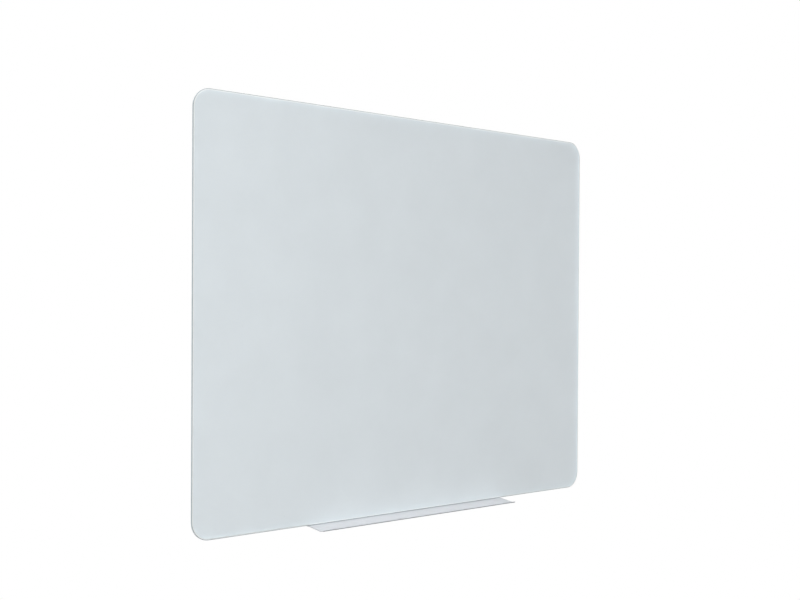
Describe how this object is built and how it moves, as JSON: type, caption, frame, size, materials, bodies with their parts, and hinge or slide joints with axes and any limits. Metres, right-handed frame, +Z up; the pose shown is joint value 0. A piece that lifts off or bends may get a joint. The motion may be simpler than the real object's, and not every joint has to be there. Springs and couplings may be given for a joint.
{
  "type": "glass whiteboard",
  "caption": "Frameless magnetic glass whiteboard with rounded corners, hung on a hidden wall rail, with a bent-sheet pen tray that slides along its lower edge.",
  "frame": {"origin": "middle of the wall rail's back face, which lies on the wall", "axes": "+X to the right of someone who faces the board, +Y into the wall, +Z up; the writing face looks along -Y"},
  "size_m": [1.2, 0.0672, 0.9086],
  "materials": {
    "glass": "tempered glass, polished edge",
    "enamel": "white enamel fired on the back of the glass",
    "adhesive": "adhesive film",
    "zinc_sheet": "galvanised",
    "aluminium": "natural anodised",
    "tray_sheet": "light grey powder coat",
    "foam_tape": "foam",
    "rubber": "matt",
    "nylon": "moulded",
    "screw_steel": "zinc plated"
  },
  "bodies": {
    "wall_fixings": {"wall_rail": "aluminium", "lower_cleat_left": "aluminium", "lower_cleat_right": "aluminium", "rail_stop_left": "nylon", "rail_stop_right": "nylon"},
    "board": {"glass_pane": "glass", "white_enamel_coat": "enamel", "adhesive_film": "adhesive", "steel_sheet": "zinc_sheet", "upper_hook_profile": "aluminium", "lower_hook_profile": "aluminium", "upper_hook_tape": "foam_tape", "lower_hook_tape": "foam_tape", "tray_rail_tape": "foam_tape", "levelling_nut_left": "screw_steel", "levelling_nut_right": "screw_steel", "bumper_upper_left": "rubber", "bumper_upper_right": "rubber", "bumper_lower_left": "rubber", "bumper_lower_right": "rubber", "tray_rail": "aluminium", "tray_stop_left": "nylon", "tray_stop_right": "nylon", "tray_stop_screw_left": "screw_steel", "tray_stop_screw_right": "screw_steel"},
    "levelling_screw_left": {"levelling_screw_left": "screw_steel"},
    "levelling_screw_right": {"levelling_screw_right": "screw_steel"},
    "tray": {"pen_tray": "tray_sheet", "tray_slider_left": "nylon", "tray_slider_right": "nylon", "slider_pin_1": "screw_steel", "slider_pin_2": "screw_steel", "slider_pin_3": "screw_steel", "slider_pin_4": "screw_steel"}
  },
  "joints": [
    {"name": "board_lift", "type": "slide", "parent": "wall_fixings", "child": "board", "axis": [0, 0, 1], "range_m": [0, 0.012]},
    {"name": "tray_slide", "type": "slide", "parent": "board", "child": "tray", "axis": [1, 0, 0], "range_m": [-0.18, 0.18]},
    {"name": "levelling_screw_left_turn", "type": "hinge", "parent": "board", "child": "levelling_screw_left", "pos_m": [-0.435, -0.0085, 0.018], "axis": [0, 0, 1], "range_deg": [-720, 720]},
    {"name": "levelling_screw_right_turn", "type": "hinge", "parent": "board", "child": "levelling_screw_right", "pos_m": [0.435, -0.0085, 0.018], "axis": [0, 0, 1], "range_deg": [-720, 720]}
  ]
}
